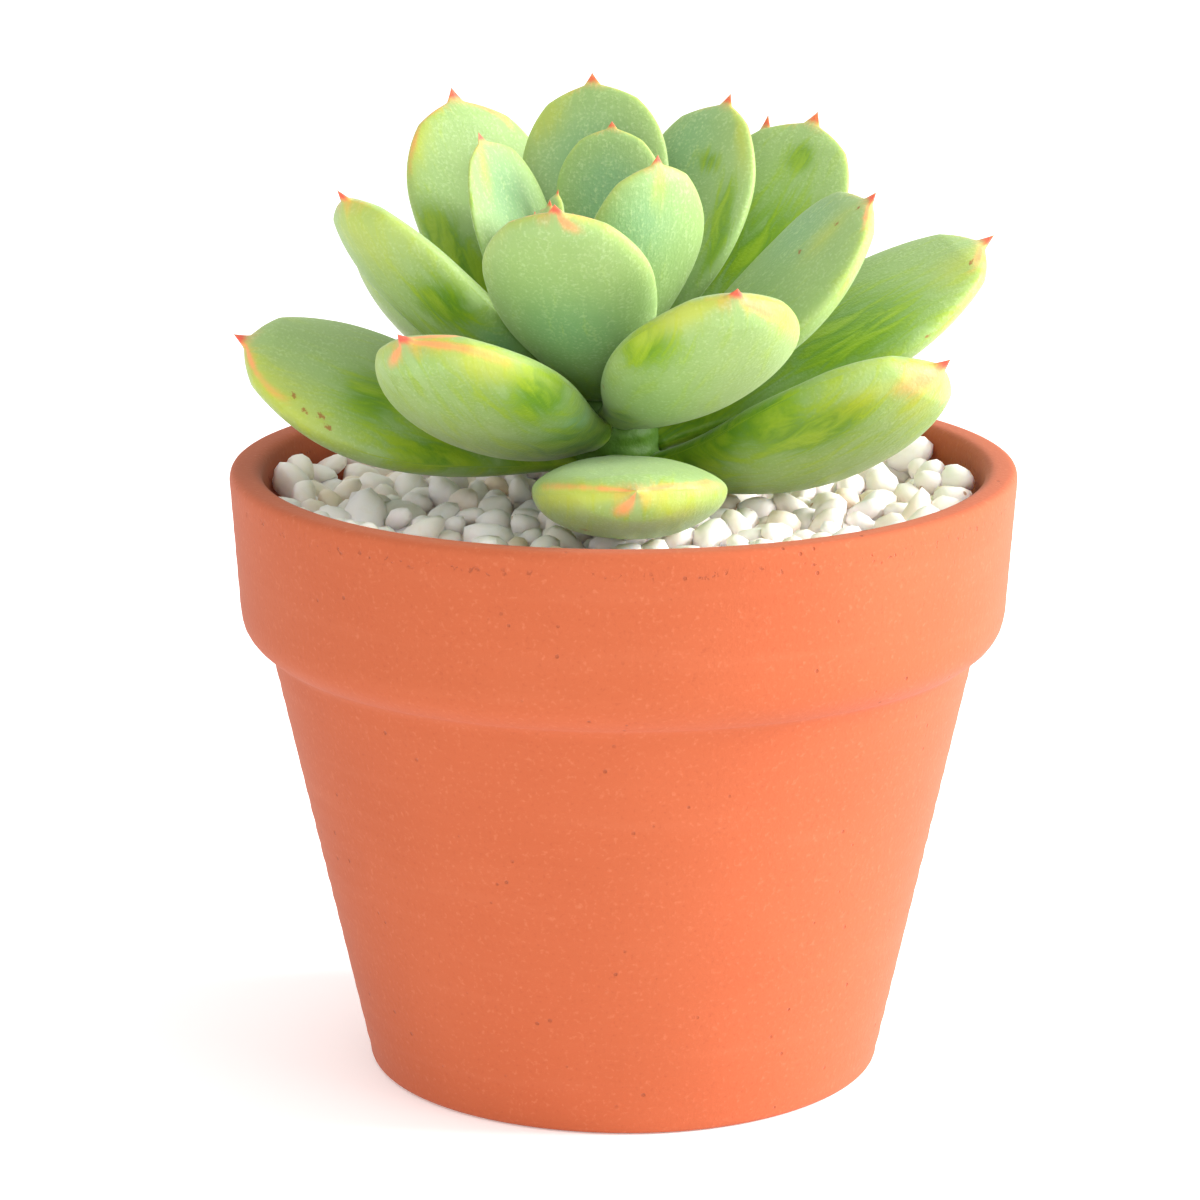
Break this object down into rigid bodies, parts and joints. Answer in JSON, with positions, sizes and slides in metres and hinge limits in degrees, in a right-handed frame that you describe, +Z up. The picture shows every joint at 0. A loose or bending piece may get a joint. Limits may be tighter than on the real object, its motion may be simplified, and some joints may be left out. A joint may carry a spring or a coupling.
{
  "type": "potted succulent",
  "caption": "Echeveria-like rosette of thick pointed leaves in a round tapered clay pot with a rim band, white gravel top dressing, soil and a drain hole.",
  "frame": {"origin": "centre of the pot's foot, on the surface it stands on", "axes": "+Z up the pot's axis, -Y towards the plant's front, +X to the right seen from the front"},
  "size_m": [0.11, 0.11, 0.1373],
  "materials": {
    "terracotta": "matte unglazed fired clay with fine specks and pits",
    "potting_soil": "dark crumbly potting mix, mostly bark and peat",
    "white_gravel": "small rounded white and cream quartz pebbles, slightly translucent",
    "stem": "short fleshy green stem, brown and corky below the gravel",
    "leaf": "fleshy pale green leaf with powdery bloom, yellower margin and red point"
  },
  "bodies": {
    "root": {"pot": "terracotta", "soil": "potting_soil", "gravel": "white_gravel", "stem_and_root": "stem", "outer_leaf_01": "leaf", "outer_leaf_02": "leaf", "outer_leaf_03": "leaf", "outer_leaf_04": "leaf", "outer_leaf_05": "leaf", "outer_leaf_06": "leaf", "outer_leaf_07": "leaf", "outer_leaf_08": "leaf", "middle_leaf_01": "leaf", "middle_leaf_02": "leaf", "middle_leaf_03": "leaf", "middle_leaf_04": "leaf", "middle_leaf_05": "leaf", "middle_leaf_06": "leaf", "inner_leaf_01": "leaf", "inner_leaf_02": "leaf", "inner_leaf_03": "leaf", "inner_leaf_04": "leaf", "inner_leaf_05": "leaf", "crown_leaf_01": "leaf", "crown_leaf_02": "leaf", "crown_leaf_03": "leaf", "crown_leaf_04": "leaf", "crown_leaf_05": "leaf", "crown_leaf_06": "leaf", "crown_leaf_07": "leaf", "crown_leaf_08": "leaf", "crown_leaf_09": "leaf", "crown_leaf_10": "leaf", "crown_leaf_11": "leaf", "crown_leaf_12": "leaf", "crown_leaf_13": "leaf", "crown_leaf_14": "leaf"}
  },
  "joints": []
}
